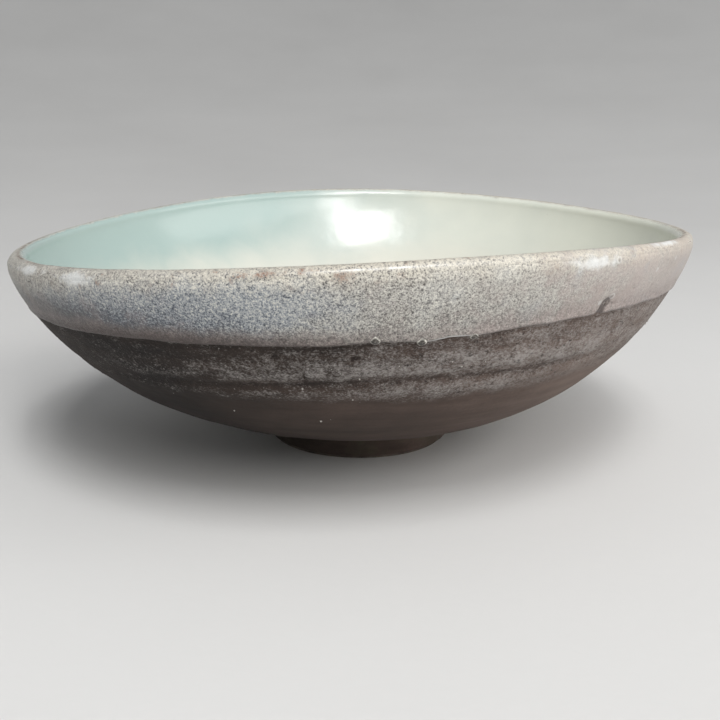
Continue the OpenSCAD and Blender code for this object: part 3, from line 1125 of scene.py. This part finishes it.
def copies(tree, points, shape, turn, scale):
    values = {"Points": points, "Instance": shape, "Rotation": turn, "Scale": scale}
    return Field(tree, add_node(tree, "GeometryNodeInstanceOnPoints", values).outputs[0])


def wall_place(angle, reach, stand_off):
    """A point on the wall, at an angle and a distance from the lip, and the wall's outward direction."""
    wanted = LIP_AT - reach
    gone = 0.0
    for (r0, z0), (r1, z1) in zip(OUTLINE, OUTLINE[1:]):
        step = math.dist((r0, z0), (r1, z1))
        if gone + step > wanted:
            break
        gone += step
    out_r, out_z = (z1 - z0) / step, -(r1 - r0) / step
    r, z = r0 + out_r * stand_off, z0 + out_z * stand_off
    turn = math.radians(angle)
    share = max(0.0, (r - FOOT_TOP_RADIUS) / (LIP_RADIUS - FOOT_TOP_RADIUS)) ** 2
    z += share * lift_of(turn, LIP, math.cos, math.sin)
    r += share * LIP["Lip oval"] * math.sin(2 * turn)
    place = Vector((r * math.cos(turn), r * math.sin(turn), z))
    return place, Vector((out_r * math.cos(turn), out_r * math.sin(turn), out_z))


def point_mesh(name, places, directions):
    mesh = bpy.data.meshes.new(name)
    mesh.from_pydata(places, [], [])
    kept = mesh.attributes.new("outward", "FLOAT_VECTOR", "POINT")
    kept.data.foreach_set("vector", [c for d in directions for c in d])
    return mesh


def bead_reach(angle):
    raised = HIGH_BEAD_RAISED if angle == HIGH_BEAD else -BEAD_DROP
    return BAND_REACH - line_waves(math.radians(angle), math.cos, math.sin) * BAND_WAVE - raised


def drop_shape(tree, size):
    """A flattened drop, narrower towards its upper end. Its points keep their distance off its axis."""
    ball = add_node(tree, "GeometryNodeMeshIcoSphere", {"Radius": size["Bead radius"], "Subdivisions": 4})
    x, y, z = parts_of(position_of(tree))
    off_axis = (x * x + y * y).math("SQRT") / size["Bead radius"]
    marked = store(tree, Field(tree, ball.outputs[0]), "rim", off_axis)
    tail = 1.0 - (y / size["Bead radius"]).most(0.0) * 0.45
    drop = vector(tree, x * tail * 1.25, y * 1.15, z * size["Flatness"])
    shaped = add_node(tree, "GeometryNodeSetPosition", {"Geometry": marked, "Position": drop})
    return Field(tree, shaped.outputs[0])


def against_wall(tree):
    """A turn that lays a drop on the wall, with its tail up."""
    outward = named(tree, "outward", "FLOAT_VECTOR")
    lit_side = add_node(tree, "FunctionNodeAlignRotationToVector", {"Vector": outward}, axis="Z")
    upright = add_node(
        tree,
        "FunctionNodeAlignRotationToVector",
        {"Rotation": Field(tree, lit_side.outputs[0]), "Vector": (0.0, 0.0, 1.0)},
        axis="Y",
        pivot_axis="Z",
    )
    return Field(tree, upright.outputs[0])


def beads(material):
    """Drops of glaze that hang at the grey glaze's lower edge."""
    sizes = {"Bead radius": 0.72 * MM, "Flatness": 0.6, "Seed": 5}
    tree, source, size = geometry_tree("hanging_beads", sizes)
    points = add_node(tree, "GeometryNodeMeshToPoints", {"Mesh": source})
    varied = random_number(tree, 0.75, 1.15, size["Seed"])
    spots = Field(tree, points.outputs[0])
    placed = copies(tree, spots, drop_shape(tree, size), against_wall(tree), varied)
    close_tree(tree, placed, material)
    places = [wall_place(angle, bead_reach(angle), stand_off=0.25 * MM) for angle in BEAD_ANGLES]
    return applied("hanging_beads", point_mesh("bead_spots", *zip(*places)), tree, sizes)


def grain_shape(tree, size):
    """A small rugged grain, flatter than it is wide."""
    ball = add_node(tree, "GeometryNodeMeshIcoSphere", {"Radius": size["Grain radius"], "Subdivisions": 2})
    position = position_of(tree)
    rugged = noise(position, 2600.0, 1.0, seed=4.0) * 1.3 + 1.0
    x, y, z = parts_of(position)
    grain = vector(tree, x * rugged, y * rugged, z * rugged * 0.7)
    shaped = add_node(
        tree, "GeometryNodeSetPosition", {"Geometry": Field(tree, ball.outputs[0]), "Position": grain}
    )
    return Field(tree, shaped.outputs[0])


def grain_density(tree, size):
    """Grains lie on the bare wall where it stands out, and few of them at the left."""
    x, _, z = parts_of(position_of(tree))
    stands = named(tree, "relief", "FLOAT").ramp(-0.1 * MM, 0.35 * MM)
    band = z.ramp(19 * MM, 25 * MM) * z.ramp(36 * MM, 34 * MM)
    bare = named(tree, "below_lip", "FLOAT").above(12 * MM)
    return band * stands * x.ramp(-50 * MM, 0.0).most(0.15) * bare * size["Grains per square metre"]


def grit(clay, material):
    """Grains of kiln sand, scattered over the bare wall."""
    sizes = {"Grains per square metre": 30000.0, "Grain radius": 0.19 * MM, "Seed": 8}
    tree, source, size = geometry_tree("fused_grit", sizes)
    scattered = add_node(
        tree,
        "GeometryNodeDistributePointsOnFaces",
        {"Mesh": source, "Density": grain_density(tree, size), "Seed": size["Seed"]},
        distribute_method="RANDOM",
    )
    varied = random_number(tree, 0.35, 1.35, size["Seed"] + 1.0)
    spin = add_node(
        tree,
        "FunctionNodeRandomValue",
        {0: (0.0, 0.0, 0.0), 1: WHOLE_TURNS, "Seed": size["Seed"] + 2.0},
        data_type="FLOAT_VECTOR",
    )
    spots = Field(tree, scattered.outputs[0])
    placed = copies(tree, spots, grain_shape(tree, size), Field(tree, spin.outputs[0]), varied)
    close_tree(tree, placed, material)
    return applied("fused_grit", clay.data.copy(), tree, sizes)


# ---------------------------------------------------------------------------------------------
# Camera, floor and light


# Camera: lens and sensor in millimetres, its tilt down and its roll in degrees
LENS = 45.0
SENSOR_WIDE = 36.0
LOOKS_DOWN = 14.64
ROLLED = 0.52
CAMERA_AT = (0.3 * MM, -209.5 * MM, 72.0 * MM)
NEAREST_SEEN = 0.01
# Floor: where its flat part ends, a ring within that, and the sweep and height of the wall round it
FLOOR_RADIUS = 0.35
FLAT_RING = 0.2
SWEEP_RADIUS = 2.6
WALL_HIGH = 3.2
# Lights: name, place, width, height, power, colour. All are aimed at the middle of the bowl.
LIGHTS = (
    ("right_softbox", (1.6, -0.9, 1.0), 2.6, 1.3, 29.0, (1.0, 0.985, 0.96)),
    ("tall_pane", (0.29, -0.80, 0.88), 0.19, 1.05, 7.5, (1.0, 1.0, 1.0)),
    ("low_pane", (0.05, -0.62, 1.06), 0.30, 0.50, 5.5, (1.0, 1.0, 1.0)),
)
LIGHTS_AIM = (0, 0, 0.03)
SKY = (0.93, 0.96, 1.0, 1.0)
SKY_STRENGTH = 0.4


def add_camera():
    data = bpy.data.cameras.new("camera")
    data.lens = LENS
    data.sensor_width = SENSOR_WIDE
    data.clip_start = NEAREST_SEEN
    camera = bpy.data.objects.new("camera", data)
    level = math.pi / 2
    tilt = Euler((level - math.radians(LOOKS_DOWN), 0.0, 0.0)).to_matrix()
    turn = tilt @ Matrix.Rotation(math.radians(ROLLED), 3, "Z")
    camera.matrix_world = Matrix.Translation(CAMERA_AT) @ turn.to_4x4()
    bpy.context.scene.collection.objects.link(camera)
    bpy.context.scene.camera = camera


def floor_mesh():
    """A flat round floor that sweeps up into a wall, open above."""
    bend = [
        (FLOOR_RADIUS + SWEEP_RADIUS * math.sin(a), SWEEP_RADIUS * (1 - math.cos(a)))
        for a in np.linspace(0, math.pi / 2, 25)
    ]
    line = [(0.0, 0.0), (FLAT_RING, 0.0)] + bend + [(FLOOR_RADIUS + SWEEP_RADIUS, WALL_HIGH)]
    mesh = outline_mesh("floor", line)
    edit = bmesh.new()
    edit.from_mesh(mesh)
    whole = edit.verts[:] + edit.edges[:]
    bmesh.ops.spin(edit, geom=whole, axis=(0, 0, 1), cent=(0, 0, 0), angle=2 * math.pi, steps=96)
    bmesh.ops.remove_doubles(edit, verts=edit.verts[:], dist=0.01 * MM)
    bmesh.ops.recalc_face_normals(edit, faces=edit.faces[:])
    for face in edit.faces:
        face.smooth = True
    edit.to_mesh(mesh)
    edit.free()
    return mesh


def add_floor():
    mesh = floor_mesh()
    floor = bpy.data.objects.new("floor", mesh)
    bpy.context.scene.collection.objects.link(floor)
    material, tree, shader, at = new_material("pale_floor")
    colour = colours(noise(at, 6.0, 3.0, 0.5, seed=1.0) + 0.5, *FLOOR_COLOURS)
    grain = noise(at, 400.0, 2.0, 0.5, seed=2.0)
    finish_material(tree, shader, colour, grain * 0.1 + 0.7, grain * (0.05 * MM))
    mesh.materials.append(material)


def add_area(name, place, wide, tall, watts, colour):
    data = bpy.data.lights.new(name, "AREA")
    data.shape = "RECTANGLE"
    data.size = wide
    data.size_y = tall
    data.energy = watts
    data.color = colour
    light = bpy.data.objects.new(name, data)
    light.location = place
    light.rotation_euler = (Vector(LIGHTS_AIM) - Vector(place)).to_track_quat("-Z", "Y").to_euler()
    bpy.context.scene.collection.objects.link(light)


def add_light():
    world = bpy.data.worlds.new("studio")
    world.use_nodes = True
    background = world.node_tree.nodes["Background"]
    background.inputs["Color"].default_value = SKY
    background.inputs["Strength"].default_value = SKY_STRENGTH
    bpy.context.scene.world = world
    for light in LIGHTS:
        add_area(*light)
    bpy.context.scene.view_settings.view_transform = "Standard"


# ---------------------------------------------------------------------------------------------
# The bowl


def settle(piece, node):
    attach(piece, "root")
    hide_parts(node)


def make_bowl():
    clay_sizes = {**LINE, "Ring strength": 1.0, "Seed": 2.0}
    grey_sizes = {**LINE, "Thick": GREY_THICK, "Roll": ROLL_THICK, "Seed": 4.0}
    pale_sizes = {"Reach": LAP_REACH, "Thick": PALE_THICK, "Seed": 6.0}
    foot_sizes = {"Seed": 3.0}
    clay = turned(
        "thrown_body", OUTLINE, clay_rule, bare_clay_material(), clay_sizes, around=600, rows=160
    )
    foot = turned(
        "turned_foot",
        FOOT_OUTLINE,
        foot_rule,
        foot_material(),
        foot_sizes,
        around=360,
        rows=161,
        warped=False,
    )
    grey = turned(
        "grey_glaze_band", OUTLINE, grey_rule, grey_glaze_material(), grey_sizes, around=1100, rows=71
    )
    pale = turned(
        "pale_glaze_coat", OUTLINE, pale_rule, pale_glaze_material(), pale_sizes, around=620, rows=151
    )
    settle(clay, "clay_body")
    settle(foot, "foot_ring")
    settle(grey, "outer_glaze")
    settle(pale, "inner_glaze")
    settle(beads(bead_material()), "glaze_beads")
    settle(grit(clay, grit_material()), "kiln_grit")


add_camera()
add_floor()
add_light()
make_bowl()
